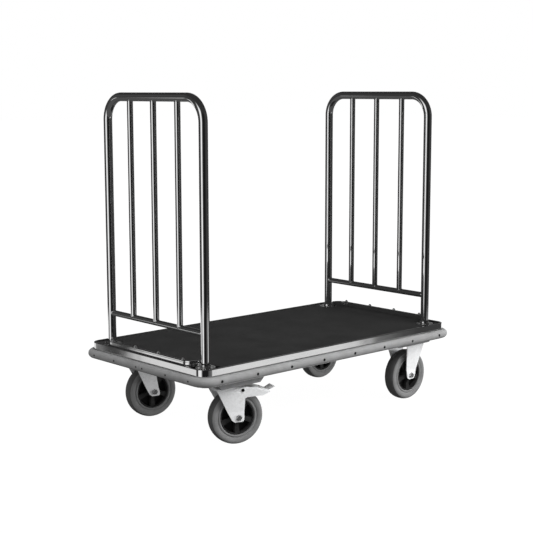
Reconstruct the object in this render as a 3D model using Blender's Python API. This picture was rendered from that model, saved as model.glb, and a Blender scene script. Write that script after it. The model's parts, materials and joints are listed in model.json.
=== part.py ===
"""Hotel luggage cart: a carpeted platform between two barred hoops, on two swivel and two fixed casters.

Metres, +Z up. +X runs along the deck towards the fixed casters, +Y across it. The origin is on the
floor under the middle of the deck. Every piece is an object of its own. The swivel casters hang from
empties on their swivel axes, and the wheels and the brake pedal have their origins on their own axes.
"""

import math

import bmesh
import bpy
from mathutils import Vector

# Deck, measured over the bumper strip
CART_LENGTH = 1.330
CART_WIDTH = 0.726
BUMPER_DEPTH = 0.022
BUMPER_HEIGHT = 0.034
BUMPER_BOTTOM = 0.250
BUMPER_JOINT = 0.0012
PAN_CORNER = 0.040
PAN_BOTTOM = 0.247
PAN_TOP = 0.310
PAN_FLOOR = 0.301
PAN_SHEET = 0.0015
PAN_SKIRT = 0.002
PAN_LIP = 0.007
BOARD_BOTTOM = 0.2797
CARPET_TOP = 0.306
CHANNEL_X = 0.462
CHANNEL_SHEET = 0.0025
CHANNEL_FOOT = 0.090
CHANNEL_SPREAD = 0.052
CHANNEL_FLANGE = 0.010
CHANNEL_HALF_LENGTH = 0.330

# Hoops
HOOP_X = 0.582
POST_Y = 0.278
HOOP_TOP = 1.232
HOOP_BEND = 0.085
POST_RADIUS = 0.016
POST_WALL = 0.002
RAIL_Z = 0.422
BAR_PITCH = 0.138
BAR_RADIUS = 0.011
BAR_WALL = 0.0015
FLANGE_RADIUS = 0.036
FLANGE_TOP = 0.3055
COLLAR_RADIUS = 0.0185
COLLAR_TOP = 0.314

# End stops: polished upstands whose ends curve in to the posts
STOP_X = 0.628
STOP_END_Y = 0.255
STOP_BEND = 0.040
STOP_THICKNESS = 0.008
STOP_TOP = 0.327

# Wheels and casters: the deeper rear channel carries the swivel casters
CASTER_Y = 0.249
SWIVEL_X = -0.478
FIXED_X = 0.497
TRAIL = 0.045
SWIVEL_TURN = {"left": math.radians(-11.0), "right": math.radians(-18.0)}
WHEEL_RADIUS = 0.1015
WHEEL_HALF_WIDTH = 0.025
RIM_RADIUS = 0.065
HUB_HALF_WIDTH = 0.0285
BEARING_RADIUS = 0.013
AXLE_RADIUS = 0.006
AXLE_HEAD = 0.007
AXLE_NUT = 0.008
AXLE_TAIL = 0.002
HEX_RADIUS = 0.0105
PLATE_LENGTH = 0.120
PLATE_WIDTH = 0.105
PLATE_CORNER = 0.010
PLATE_SHEET = 0.0035
PLATE_BOTTOM = {"rear": 0.2225, "front": 0.2355}
RACE_RADIUS = 0.041
RACE_EDGE = 0.003
KINGPIN_RADIUS = 0.008
KINGPIN_HEAD = 0.014
KINGPIN_HEAD_DEPTH = 0.004

# Forks: pairs are positions at the axle and at the top of the leg, measured backwards from the axle
FORK_SHEET = 0.0035
LEG_AT_AXLE = 0.034
LEG_KNEE = 0.125
FOOT_BOTTOM = 0.0850
FOOT_CORNER = 0.012
SWIVEL_CROWN = 0.2125
SWIVEL_LEG_TOP = 0.2070
SWIVEL_LEG_SPREAD = 0.048
SWIVEL_CROWN_HALF = 0.0425
PLAIN_FRONT = (-0.0255, -0.0800)
PLAIN_BACK = (0.0215, -0.0050)
PLAIN_CROWN = (-0.088, -0.004)
BRAKED_FRONT = (-0.0305, -0.0865)
BRAKED_BACK = (0.0215, 0.0215)
BRAKED_CROWN = (-0.092, 0.030)
FIXED_CROWN = 0.2334
FIXED_LEG_TOP = 0.2280
FIXED_LEG_SPREAD = 0.055
FIXED_CROWN_HALF = 0.0495
FIXED_BACK = (0.0235, 0.050)

# The braked fork's cheeks: heights and the rear edge there
CHEEK = (
    (0.1725, 0.0215),
    (0.1762, 0.0290),
    (0.1770, 0.0920),
    (0.1825, 0.1075),
    (0.1885, 0.1075),
    (0.1975, 0.0920),
    (0.2070, 0.0550),
)

# Brake on the right-hand swivel caster: (back, up) points from its pin, and the pin from the axle
PIN_BACK = 0.0105
PIN_UP = 0.1030
PIN_RADIUS = 0.003
PIN_INNER = 0.0305
PIN_OUTER = 0.0505
PEDAL_SHEET = 0.003
PEDAL_TREAD = ((0.014, 0.0), (0.056, 0.0), (0.1138, -0.0185), (0.1351, -0.0075))
PEDAL_TREAD_HALF = 0.023
PEDAL_WEB = ((0.012, 0.0003), (0.056, 0.0003), (0.100, -0.0138))
PEDAL_EAR = (
    (-0.005, -0.0045),
    (0.008, -0.0050),
    (0.050, -0.0240),
    (0.085, -0.0255),
    (0.112, -0.0190),
    (0.112, -0.0160),
    (0.088, -0.0080),
    (0.056, 0.0028),
    (-0.005, 0.0038),
)
EAR_OUTER = 0.037
EAR_SHEET = 0.003
SHOE_LOW = (0.0345, -0.014, -0.0080)
SHOE_HIGH = (0.0495, 0.014, 0.0010)

GAP = 0.0003
COPE_GAP = 0.0004
TUBE_SIDES = 16
WHEEL_SIDES = 32
TURNED_SIDES = 24
SHANK_SIDES = 12
CORNER_STEPS = 5
BEND_STEPS = 6
CUTTER_REACH = 0.14

SIDES = {"left": 1, "right": -1}
ENDS = {"rear": -1, "front": 1}

COLOURS = {
    "polished_steel": ((0.80, 0.81, 0.82), 0.08, 1.0),
    "tube_chrome": ((0.84, 0.85, 0.86), 0.05, 1.0),
    "bumper_grey": ((0.36, 0.36, 0.37), 0.55, 0.0),
    "carpet_charcoal": ((0.022, 0.022, 0.023), 0.95, 0.0),
    "plywood": ((0.42, 0.29, 0.17), 0.70, 0.0),
    "zinc_plate": ((0.80, 0.81, 0.83), 0.32, 1.0),
    "channel_grey": ((0.33, 0.34, 0.35), 0.45, 1.0),
    "tyre_grey": ((0.26, 0.26, 0.27), 0.70, 0.0),
    "rim_black": ((0.014, 0.014, 0.015), 0.45, 0.0),
    "bearing_steel": ((0.62, 0.62, 0.63), 0.25, 1.0),
}


# Shared tools


def clear_scene():
    for item in list(bpy.data.objects):
        bpy.data.objects.remove(item, do_unlink=True)


def material(slot):
    found = bpy.data.materials.get(slot)
    if found:
        return found
    colour, roughness, metallic = COLOURS[slot]
    made = bpy.data.materials.new(slot)
    made.use_nodes = True
    shader = made.node_tree.nodes["Principled BSDF"]
    shader.inputs["Base Color"].default_value = (*colour, 1.0)
    shader.inputs["Roughness"].default_value = roughness
    shader.inputs["Metallic"].default_value = metallic
    return made


def loft_mesh(name, loops, closed=False):
    """Joins loops of the same number of points. A closed loft meets its own start, an open one is capped."""
    work = bmesh.new()
    rings = [[work.verts.new(point) for point in loop] for loop in loops]
    pairs = list(zip(rings, rings[1:]))
    if closed:
        pairs.append((rings[-1], rings[0]))
    else:
        work.faces.new(rings[0])
        work.faces.new(rings[-1])
    count = len(rings[0])
    for ring, after in pairs:
        for i in range(count):
            j = (i + 1) % count
            work.faces.new((ring[i], ring[j], after[j], after[i]))
    bmesh.ops.recalc_face_normals(work, faces=work.faces)
    mesh = bpy.data.meshes.new(name)
    work.to_mesh(mesh)
    work.free()
    return mesh


def place(name, mesh, slot, parent=None, location=(0, 0, 0), smooth=True):
    made = bpy.data.objects.new(name, mesh)
    bpy.context.scene.collection.objects.link(made)
    if slot and not mesh.materials:
        mesh.materials.append(material(slot))
    if smooth:
        mesh.shade_smooth()
        mesh.set_sharp_from_angle(angle=math.radians(32))
    made.parent = parent
    made.location = location
    return made


def empty(name, location, turn=0.0, parent=None):
    made = bpy.data.objects.new(name, None)
    bpy.context.scene.collection.objects.link(made)
    made.empty_display_size = 0.05
    made.parent = parent
    made.location = location
    made.rotation_euler = (0, 0, turn)
    return made


def combine(target, tool, operation):
    """Cuts the tool out of the target, or adds it, and keeps the tool as a hidden helper."""
    tool.hide_render = True
    tool.display_type = "WIRE"
    step = target.modifiers.new(tool.name, "BOOLEAN")
    step.operation = operation
    step.solver = "EXACT"
    step.object = tool


def circle(radius, height, sides):
    turn = math.tau / sides
    return [(radius * math.cos(i * turn), radius * math.sin(i * turn), height) for i in range(sides)]


def hexagon(radius, height):
    """A hexagon with a point at each corner and each middle of a side: twelve in all."""
    loop = []
    for i in range(12):
        reach = radius if i % 2 == 0 else radius * math.cos(math.pi / 6)
        loop.append((reach * math.cos(i * math.pi / 6), reach * math.sin(i * math.pi / 6), height))
    return loop


def on_axle(loops):
    """Turns loops made about Z so that their axis lies along Y."""
    return [[(x, z, -y) for x, y, z in loop] for loop in loops]


def turned(name, profile, sides, closed=False):
    """A turned shape about Z from (radius, height) points."""
    return loft_mesh(name, [circle(radius, height, sides) for radius, height in profile], closed)


def box_loops(low, high):
    (x0, y0, z0), (x1, y1, z1) = low, high
    return [[(x0, y0, z), (x1, y0, z), (x1, y1, z), (x0, y1, z)] for z in (z0, z1)]


def deck_path(offset=0.0):
    """The pan's outer line, moved outwards by offset: points from the middle of the rear end and back."""
    half_x = CART_LENGTH / 2 - BUMPER_DEPTH - GAP
    half_y = CART_WIDTH / 2 - BUMPER_DEPTH - GAP
    points = [(-half_x - offset, -BUMPER_JOINT / 2)]
    for quarter, (sx, sy) in enumerate(((-1, -1), (1, -1), (1, 1), (-1, 1))):
        centre = (sx * (half_x - PAN_CORNER), sy * (half_y - PAN_CORNER))
        for step in range(CORNER_STEPS + 1):
            angle = math.pi + (quarter + step / CORNER_STEPS) * math.pi / 2
            reach = PAN_CORNER + offset
            points.append((centre[0] + reach * math.cos(angle), centre[1] + reach * math.sin(angle)))
    points.append((-half_x - offset, BUMPER_JOINT / 2))
    return points


def deck_loop(offset, height):
    return [(x, y, height) for x, y in deck_path(offset)]


# Deck


def deck_pan():
    """A shallow steel pan: a floor sheet, a skirt all round and a hemmed lip that stands over the floor."""
    loops = [
        deck_loop(-PAN_SKIRT, PAN_FLOOR - PAN_SHEET),
        deck_loop(-PAN_SKIRT, PAN_BOTTOM),
        deck_loop(0.0, PAN_BOTTOM),
        deck_loop(0.0, PAN_TOP - PAN_SHEET),
        deck_loop(-PAN_SHEET, PAN_TOP),
        deck_loop(-PAN_LIP + PAN_SHEET, PAN_TOP),
        deck_loop(-PAN_LIP, PAN_TOP - PAN_SHEET),
        deck_loop(-PAN_LIP, PAN_FLOOR),
    ]
    place("deck_pan", loft_mesh("deck_pan", loops), "polished_steel")


def deck_board():
    inset = -PAN_SKIRT - 2 * GAP
    top = PAN_FLOOR - PAN_SHEET - GAP
    loops = [deck_loop(inset, BOARD_BOTTOM), deck_loop(inset, top)]
    place("deck_board", loft_mesh("deck_board", loops), "plywood")


def carpet():
    """The carpet fills the pan and is cut away round each post flange, out to the corner."""
    half_x = CART_LENGTH / 2 - BUMPER_DEPTH - PAN_LIP - 3 * GAP
    half_y = CART_WIDTH / 2 - BUMPER_DEPTH - PAN_LIP - 3 * GAP
    cut = FLANGE_RADIUS + 4 * GAP
    steps = 8
    quadrant = [(HOOP_X - cut, half_y)]
    for step in range(steps + 1):
        angle = math.pi + step / steps * math.pi / 2
        quadrant.append((HOOP_X + cut * math.cos(angle), POST_Y + cut * math.sin(angle)))
    quadrant.append((half_x, POST_Y - cut))
    outline = []
    for sx, sy in ((1, 1), (1, -1), (-1, -1), (-1, 1)):
        corner = [(sx * x, sy * y) for x, y in quadrant]
        outline += corner if sx * sy > 0 else corner[::-1]
    loops = [[(x, y, z) for x, y in outline] for z in (PAN_FLOOR + GAP, CARPET_TOP)]
    mesh = loft_mesh("deck_carpet", loops)
    work = bmesh.new()
    work.from_mesh(mesh)
    for sign in (-1, 1):
        # Seams across the felt, clear of the end stops, so that the loading surface is a face of its own.
        around = work.verts[:] + work.edges[:] + work.faces[:]
        bmesh.ops.bisect_plane(
            work, geom=around, dist=0.00001, plane_co=(sign * (HOOP_X - cut), 0, 0), plane_no=(1, 0, 0)
        )
    work.to_mesh(mesh)
    work.free()
    place("deck_carpet", mesh, "carpet_charcoal", smooth=False)


def bumper():
    """A D-section strip round the skirt, with its butt joint in the middle of the rear end."""
    half = BUMPER_HEIGHT / 2
    middle = BUMPER_BOTTOM + half
    steps = 8
    section = [(GAP, BUMPER_BOTTOM), (BUMPER_DEPTH + GAP - half, BUMPER_BOTTOM)]
    for step in range(1, steps):
        angle = -math.pi / 2 + step / steps * math.pi
        section.append((BUMPER_DEPTH + GAP - half + half * math.cos(angle), middle + half * math.sin(angle)))
    section += [(BUMPER_DEPTH + GAP - half, middle + half), (GAP, middle + half)]
    paths = [deck_path(offset) for offset, _ in section]
    loops = []
    for station in range(len(paths[0])):
        loops.append([(*path[station], height) for path, (_, height) in zip(paths, section)])
    place("bumper_strip", loft_mesh("bumper_strip", loops), "bumper_grey")


def cross_channel(end):
    """A hat-section cross member under the board, closed at its ends, with the caster plates on its foot."""
    top = BOARD_BOTTOM - GAP
    bottom = PLATE_BOTTOM[end] + PLATE_SHEET + GAP
    foot, sheet, reach = CHANNEL_FOOT, CHANNEL_SHEET, CHANNEL_HALF_LENGTH
    head = foot + CHANNEL_SPREAD
    rim = CHANNEL_FLANGE
    levels = [(foot, reach, bottom), (head, reach, top - sheet)]
    levels += [(head + rim, reach + rim / 2, top - sheet), (head + rim, reach + rim / 2, top)]
    levels += [(head - sheet, reach - sheet, top), (foot - sheet, reach - sheet, bottom + sheet)]
    centre = ENDS[end] * CHANNEL_X
    corners = ((-1, -1), (1, -1), (1, 1), (-1, 1))
    loops = [[(centre + sx * x, sy * y, z) for sx, sy in corners] for x, y, z in levels]
    name = f"cross_channel_{end}"
    place(name, loft_mesh(name, loops), "channel_grey", smooth=False)


def end_stop(end):
    """An upstand across the end of the deck, bent inwards at both ends to stop beside the posts."""
    straight = STOP_END_Y - STOP_BEND
    half = STOP_THICKNESS / 2
    bottom = CARPET_TOP + GAP
    bend = [math.pi / 2 * (1 - step / BEND_STEPS) for step in range(BEND_STEPS + 1)]
    stations = [(angle, 1) for angle in bend] + [(angle, -1) for angle in reversed(bend)]
    loops = []
    for angle, side in stations:
        loop = []
        for reach, z in ((-half, bottom), (half, bottom), (half, STOP_TOP), (-half, STOP_TOP)):
            radius = STOP_BEND + reach
            x = STOP_X - STOP_BEND + radius * math.cos(angle)
            loop.append((ENDS[end] * x, side * (straight + radius * math.sin(angle)), z))
        loops.append(loop)
    name = f"end_stop_{end}"
    place(name, loft_mesh(name, loops), "polished_steel")


# Hoops


def tube_rings(path, radius):
    """Rings of a tube in a plane of constant X along (y, z) points, square to the path at each point."""
    rings = []
    for i, (y, z) in enumerate(path):
        before = path[max(i - 1, 0)]
        after = path[min(i + 1, len(path) - 1)]
        along = Vector((after[0] - before[0], after[1] - before[1])).normalized()
        ring = []
        for side in range(TUBE_SIDES):
            angle = side * math.tau / TUBE_SIDES
            across = radius * math.sin(angle)
            ring.append((radius * math.cos(angle), y - across * along[1], z + across * along[0]))
        rings.append(ring)
    return rings


def hoop(end):
    foot = PAN_FLOOR + GAP
    bend_z = HOOP_TOP - HOOP_BEND
    half = [(-POST_Y, foot), (-POST_Y, bend_z - POST_RADIUS)]
    for step in range(BEND_STEPS + 1):
        angle = math.pi - step / BEND_STEPS * math.pi / 2
        half.append((-POST_Y + HOOP_BEND + HOOP_BEND * math.cos(angle), bend_z + HOOP_BEND * math.sin(angle)))
    path = half + [(-y, z) for y, z in reversed(half)]
    loops = tube_rings(path, POST_RADIUS) + tube_rings(path, POST_RADIUS - POST_WALL)[::-1]
    name = f"hoop_{end}"
    place(name, loft_mesh(name, loops, closed=True), "tube_chrome", location=(ENDS[end] * HOOP_X, 0, 0))


def coped_tube(start, finish, start_cope, finish_cope):
    """Loops of a straight hollow tube along Z whose ends are cut to the round tubes that they meet.

    start and finish are the heights of those tubes' centre lines, which run along Y, and the copes are
    their radii."""
    loops = []
    for radius, ends in ((BAR_RADIUS, (0, 1)), (BAR_RADIUS - BAR_WALL, (1, 0))):
        for which in ends:
            level, cope, way = ((start, start_cope, 1), (finish, finish_cope, -1))[which]
            ring = []
            for x, y, _ in circle(radius, 0.0, TUBE_SIDES):
                ring.append((x, y, level + way * math.sqrt((cope + COPE_GAP) ** 2 - x * x)))
            loops.append(ring)
    return loops


def cross_rail(end):
    loops = coped_tube(-POST_Y, POST_Y, POST_RADIUS, POST_RADIUS)
    across = [[(x, z, -y) for x, y, z in loop] for loop in loops]
    name = f"cross_rail_{end}"
    mesh = loft_mesh(name, across, closed=True)
    place(name, mesh, "tube_chrome", location=(ENDS[end] * HOOP_X, 0, RAIL_Z))


def bars(end):
    loops = coped_tube(RAIL_Z, HOOP_TOP, BAR_RADIUS, POST_RADIUS)
    mesh = loft_mesh(f"bar_{end}", loops, closed=True)
    for number in range(3):
        where = (ENDS[end] * HOOP_X, (number - 1) * BAR_PITCH, 0)
        place(f"bar_{end}_{number + 1}", mesh, "tube_chrome", location=where)


def post_flanges(end):
    """A round foot plate and its collar, welded on each post."""
    bore = POST_RADIUS + 2 * GAP
    profile = [
        (bore, 0.0),
        (FLANGE_RADIUS, 0.0),
        (FLANGE_RADIUS, FLANGE_TOP - PAN_FLOOR - GAP),
        (COLLAR_RADIUS, FLANGE_TOP - PAN_FLOOR - GAP),
        (COLLAR_RADIUS, COLLAR_TOP - PAN_FLOOR - GAP),
        (bore, COLLAR_TOP - PAN_FLOOR - GAP),
    ]
    mesh = turned(f"post_flange_{end}", profile, TURNED_SIDES, closed=True)
    for side, sign in SIDES.items():
        where = (ENDS[end] * HOOP_X, sign * POST_Y, PAN_FLOOR + GAP)
        place(f"post_flange_{end}_{side}", mesh, "polished_steel", location=where)


# Casters: each is built in a frame whose X runs backwards from the axle along the wheel, Y along the axle


def top_plate(corner, centre, bottom):
    half_x, half_y = PLATE_LENGTH / 2, PLATE_WIDTH / 2
    loop = []
    for quarter, (sx, sy) in enumerate(((1, 1), (-1, 1), (-1, -1), (1, -1))):
        for step in range(3):
            angle = (quarter + step / 2) * math.pi / 2
            x = sx * (half_x - PLATE_CORNER) + PLATE_CORNER * math.cos(angle)
            y = sy * (half_y - PLATE_CORNER) + PLATE_CORNER * math.sin(angle)
            loop.append((x, y))
    loops = [[(x, y, z) for x, y in loop] for z in (bottom, bottom + PLATE_SHEET)]
    name = f"caster_plate_{corner}"
    place(name, loft_mesh(name, loops), "zinc_plate", location=(*centre, 0), smooth=False)


def swivel_head(corner, centre):
    """The ball race between plate and fork, and the kingpin that holds the fork up."""
    bore = KINGPIN_RADIUS + 2 * GAP
    bottom = SWIVEL_CROWN + FORK_SHEET / 2 + GAP
    top = PLATE_BOTTOM["rear"] - GAP
    race = [
        (bore, bottom),
        (RACE_RADIUS - RACE_EDGE, bottom),
        (RACE_RADIUS, bottom + RACE_EDGE),
        (RACE_RADIUS, top - RACE_EDGE),
        (RACE_RADIUS - 2 * RACE_EDGE, top),
        (bore, top),
    ]
    name = f"swivel_race_{corner}"
    place(name, turned(name, race, TURNED_SIDES, closed=True), "zinc_plate", location=(*centre, 0))
    under = SWIVEL_CROWN - FORK_SHEET / 2 - GAP
    kingpin = [
        (KINGPIN_HEAD - KINGPIN_HEAD_DEPTH / 2, under - KINGPIN_HEAD_DEPTH),
        (KINGPIN_HEAD, under - KINGPIN_HEAD_DEPTH / 2),
        (KINGPIN_HEAD, under),
        (KINGPIN_RADIUS, under),
        (KINGPIN_RADIUS, top),
    ]
    name = f"kingpin_{corner}"
    place(name, turned(name, kingpin, TUBE_SIDES), "bearing_steel", location=(*centre, 0))


def fork_loops(leg, crown_z, crown_half, crown_span):
    """A bent-sheet fork from one leg's foot over the crown to the other's.

    leg is a list of (height, half spread, front, back) rows from the foot up, and crown_span is the
    crown's front and back."""
    rows = [(spread, height, front, back) for height, spread, front, back in leg]
    rows += [(crown_half, crown_z, *crown_span)]
    rows += [(-y, z, front, back) for y, z, front, back in reversed(rows)]
    loops = []
    for i, (y, z, front, back) in enumerate(rows):
        y0, z0 = rows[max(i - 1, 0)][:2]
        y1, z1 = rows[min(i + 1, len(rows) - 1)][:2]
        arriving = Vector((y - y0, z - z0)).normalized() if i else None
        leaving = Vector((y1 - y, z1 - z)).normalized() if i < len(rows) - 1 else arriving
        arriving = arriving or leaving
        along = (arriving + leaving).normalized()
        half = FORK_SHEET / 2 / max(along.dot(leaving), 0.7)
        out_y, out_z = along[1] * half, -along[0] * half
        loops.append(
            [
                (front, y - out_y, z - out_z),
                (back, y - out_y, z - out_z),
                (back, y + out_y, z + out_z),
                (front, y + out_y, z + out_z),
            ]
        )
    return loops


def leg_rows(top, top_spread, front, back, cheek=None):
    """Rows of one leg: a rounded foot, upright to above the axle, then flared outwards to the crown.

    front and back are (at the axle, at the top), and cheek gives its own rows (height, back) above the
    knee."""

    def spread(z):
        return LEG_AT_AXLE + (top_spread - LEG_AT_AXLE) * max(0.0, (z - LEG_KNEE) / (top - LEG_KNEE))

    def edge(ends, z):
        return ends[0] + (ends[1] - ends[0]) * (z - WHEEL_RADIUS) / (top - WHEEL_RADIUS)

    rows = []
    for degrees in (70, 40, 15):
        angle = math.radians(degrees)
        z = FOOT_BOTTOM + FOOT_CORNER * (1 - math.sin(angle))
        inset = FOOT_CORNER * (1 - math.cos(angle))
        rows.append((z, LEG_AT_AXLE, edge(front, z) + inset, edge(back, z) - inset))
    rows.append((LEG_KNEE, LEG_AT_AXLE, edge(front, LEG_KNEE), edge(back, LEG_KNEE)))
    for z, reach in cheek or ((top, back[1]),):
        rows.append((z, spread(z), edge(front, z), reach))
    return rows


def drill(target, name, radius, parent, location, across=True):
    loops = [circle(radius, z, TUBE_SIDES) for z in (-CUTTER_REACH / 2, CUTTER_REACH / 2)]
    mesh = loft_mesh(name, on_axle(loops) if across else loops)
    combine(target, place(name, mesh, None, parent, location, smooth=False), "DIFFERENCE")


def fork(corner, frame, loops):
    name = f"fork_{corner}"
    made = place(name, loft_mesh(name, loops), "zinc_plate", frame, smooth=False)
    drill(made, f"{name}_axle_drill", AXLE_RADIUS + 2 * GAP, frame, (0, 0, WHEEL_RADIUS))
    return made


def swivel_fork(corner, frame, braked):
    top, spread = SWIVEL_LEG_TOP, SWIVEL_LEG_SPREAD
    if braked:
        leg = leg_rows(top, spread, BRAKED_FRONT, BRAKED_BACK, CHEEK)
    else:
        leg = leg_rows(top, spread, PLAIN_FRONT, PLAIN_BACK)
    crown = BRAKED_CROWN if braked else PLAIN_CROWN
    made = fork(corner, frame, fork_loops(leg, SWIVEL_CROWN, SWIVEL_CROWN_HALF, crown))
    king = (-TRAIL, 0, SWIVEL_CROWN + CUTTER_REACH / 2 - 2 * FORK_SHEET)
    drill(made, f"{made.name}_king_drill", KINGPIN_RADIUS + 2 * GAP, frame, king, across=False)
    if braked:
        pin = (PIN_BACK, 0, WHEEL_RADIUS + PIN_UP)
        drill(made, f"{made.name}_pin_drill", PIN_RADIUS + 2 * GAP, frame, pin)


def fixed_fork(corner, frame):
    front = tuple(-reach for reach in FIXED_BACK)
    leg = leg_rows(FIXED_LEG_TOP, FIXED_LEG_SPREAD, front, FIXED_BACK)
    crown = (front[1], FIXED_BACK[1])
    fork(corner, frame, fork_loops(leg, FIXED_CROWN, FIXED_CROWN_HALF, crown))


def axle(corner, frame):
    """A hexagon bolt through both legs and the bearing, and its nut."""
    face = LEG_AT_AXLE + FORK_SHEET / 2 + GAP
    bolt = [
        hexagon(HEX_RADIUS, -face - AXLE_HEAD),
        hexagon(HEX_RADIUS, -face),
        circle(AXLE_RADIUS, -face, SHANK_SIDES),
        circle(AXLE_RADIUS, face + AXLE_NUT + AXLE_TAIL, SHANK_SIDES),
    ]
    name = f"axle_bolt_{corner}"
    centre = (0, 0, WHEEL_RADIUS)
    place(name, loft_mesh(name, on_axle(bolt)), "zinc_plate", frame, centre, smooth=False)
    bore = AXLE_RADIUS + 2 * GAP
    nut = [
        hexagon(HEX_RADIUS, face),
        hexagon(HEX_RADIUS, face + AXLE_NUT),
        circle(bore, face + AXLE_NUT, SHANK_SIDES),
        circle(bore, face, SHANK_SIDES),
    ]
    name = f"axle_nut_{corner}"
    place(name, loft_mesh(name, on_axle(nut), closed=True), "zinc_plate", frame, centre, smooth=False)


def mirrored(half):
    """A closed profile from its half at positive heights."""
    return half + [(radius, -height) for radius, height in reversed(half)]


def wheel(corner, frame):
    """Tyre, rim and roller bearing, turned about the axle from (radius, half width) points."""
    centre = (0, 0, WHEEL_RADIUS)
    seat = RIM_RADIUS + 2 * GAP
    tyre = [(seat, 0.0225), (0.0885, WHEEL_HALF_WIDTH), (0.0975, 0.0205), (WHEEL_RADIUS, 0.010)]
    rim = [
        (BEARING_RADIUS + 2 * GAP, HUB_HALF_WIDTH),
        (0.0215, HUB_HALF_WIDTH),
        (0.024, 0.005),
        (0.056, 0.005),
        (0.059, 0.022),
        (RIM_RADIUS, 0.022),
    ]
    bearing = [(AXLE_RADIUS + 2 * GAP, HUB_HALF_WIDTH), (BEARING_RADIUS, HUB_HALF_WIDTH)]
    pieces = (
        (f"tyre_{corner}", tyre, WHEEL_SIDES, "tyre_grey"),
        (f"wheel_rim_{corner}", rim, WHEEL_SIDES, "rim_black"),
        (f"wheel_bearing_{corner}", bearing, TUBE_SIDES, "bearing_steel"),
    )
    for name, half, sides, slot in pieces:
        loops = on_axle([circle(radius, height, sides) for radius, height in mirrored(half)])
        place(name, loft_mesh(name, loops, closed=True), slot, frame, centre)


def strip(points, half_width):
    """Loops of a bent sheet whose lower face follows (back, up) points."""
    return [
        [
            (x, -half_width, z),
            (x, half_width, z),
            (x, half_width, z + PEDAL_SHEET),
            (x, -half_width, z + PEDAL_SHEET),
        ]
        for x, z in points
    ]


def brake(frame):
    """A pedal between the fork's cheeks that presses its shoe on the tyre, and its two stub pins."""
    pivot = empty("brake_axis", (PIN_BACK, 0, WHEEL_RADIUS + PIN_UP), parent=frame)
    tread = loft_mesh("brake_pedal", strip(PEDAL_TREAD, PEDAL_TREAD_HALF))
    pedal = place("brake_pedal", tread, "zinc_plate", pivot, smooth=False)
    added = {"pedal_web": strip(PEDAL_WEB, EAR_OUTER), "pedal_shoe": box_loops(SHOE_LOW, SHOE_HIGH)}
    for side, sign in SIDES.items():
        faces = (sign * EAR_OUTER, sign * (EAR_OUTER - EAR_SHEET))
        added[f"pedal_ear_{side}"] = [[(x, y, z) for x, z in PEDAL_EAR] for y in faces]
    for name, loops in added.items():
        combine(pedal, place(name, loft_mesh(name, loops), None, pivot, smooth=False), "UNION")
    drill(pedal, "pedal_pin_drill", PIN_RADIUS + 2 * GAP, pivot, (0, 0, 0))
    pin = on_axle([circle(PIN_RADIUS, z, SHANK_SIDES) for z in (-PIN_OUTER, -PIN_INNER)])
    for side, sign in SIDES.items():
        name = f"brake_pin_{side}"
        loops = pin if sign < 0 else [[(x, -y, z) for x, y, z in loop] for loop in pin]
        place(name, loft_mesh(name, loops), "bearing_steel", pivot)


def swivel_caster(side):
    corner = f"rear_{side}"
    centre = (SWIVEL_X, SIDES[side] * CASTER_Y)
    top_plate(corner, centre, PLATE_BOTTOM["rear"])
    swivel_head(corner, centre)
    turning = empty(f"swivel_axis_{corner}", (*centre, 0), SWIVEL_TURN[side])
    frame = empty(f"wheel_frame_{corner}", (TRAIL, 0, 0), parent=turning)
    swivel_fork(corner, frame, braked=side == "right")
    axle(corner, frame)
    wheel(corner, frame)
    if side == "right":
        brake(frame)


def fixed_caster(side):
    corner = f"front_{side}"
    centre = (FIXED_X, SIDES[side] * CASTER_Y)
    top_plate(corner, centre, PLATE_BOTTOM["front"])
    frame = empty(f"wheel_frame_{corner}", (*centre, 0))
    fixed_fork(corner, frame)
    axle(corner, frame)
    wheel(corner, frame)


def main():
    clear_scene()
    deck_pan()
    deck_board()
    carpet()
    bumper()
    for end in ENDS:
        cross_channel(end)
        end_stop(end)
        hoop(end)
        cross_rail(end)
        bars(end)
        post_flanges(end)
    for side in SIDES:
        swivel_caster(side)
        fixed_caster(side)


main()
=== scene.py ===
import json
import math

import bmesh
import bpy
from mathutils import Matrix, Vector

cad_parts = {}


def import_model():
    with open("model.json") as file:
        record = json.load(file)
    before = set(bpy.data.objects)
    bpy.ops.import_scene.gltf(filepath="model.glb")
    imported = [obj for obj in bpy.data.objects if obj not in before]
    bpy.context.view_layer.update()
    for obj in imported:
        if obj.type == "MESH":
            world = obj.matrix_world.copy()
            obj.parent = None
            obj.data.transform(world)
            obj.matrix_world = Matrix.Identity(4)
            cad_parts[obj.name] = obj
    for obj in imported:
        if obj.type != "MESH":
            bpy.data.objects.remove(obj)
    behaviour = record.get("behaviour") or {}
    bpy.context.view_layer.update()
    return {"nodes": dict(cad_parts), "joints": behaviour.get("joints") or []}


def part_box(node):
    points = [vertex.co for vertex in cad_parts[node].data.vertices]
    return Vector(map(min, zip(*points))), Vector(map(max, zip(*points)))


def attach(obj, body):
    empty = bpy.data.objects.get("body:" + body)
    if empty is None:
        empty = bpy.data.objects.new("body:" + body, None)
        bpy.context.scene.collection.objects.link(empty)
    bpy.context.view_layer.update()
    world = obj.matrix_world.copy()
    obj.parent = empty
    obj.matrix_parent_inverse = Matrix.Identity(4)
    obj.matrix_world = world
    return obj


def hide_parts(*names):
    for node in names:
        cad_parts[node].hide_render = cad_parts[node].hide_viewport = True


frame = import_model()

NODES = frame["nodes"]
SIDES = {"left": 1, "right": -1}
ENDS = {"rear": -1, "front": 1}
CORNERS = [f"{end}_{side}" for end in ENDS for side in SIDES]
BEVEL_ANGLE = math.radians(30)
Z_TO_Y = Matrix.Rotation(math.radians(-90), 4, "X")
UPSIDE_DOWN = Matrix.Rotation(math.pi, 4, "X")
# A Mix node's colour sockets
MIX_FIRST, MIX_SECOND, MIX_RESULT = 6, 7, 2


# Measures read from the frame


def low(node):
    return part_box(node)[0]


def high(node):
    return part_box(node)[1]


def middle(node):
    return (low(node) + high(node)) / 2


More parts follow.
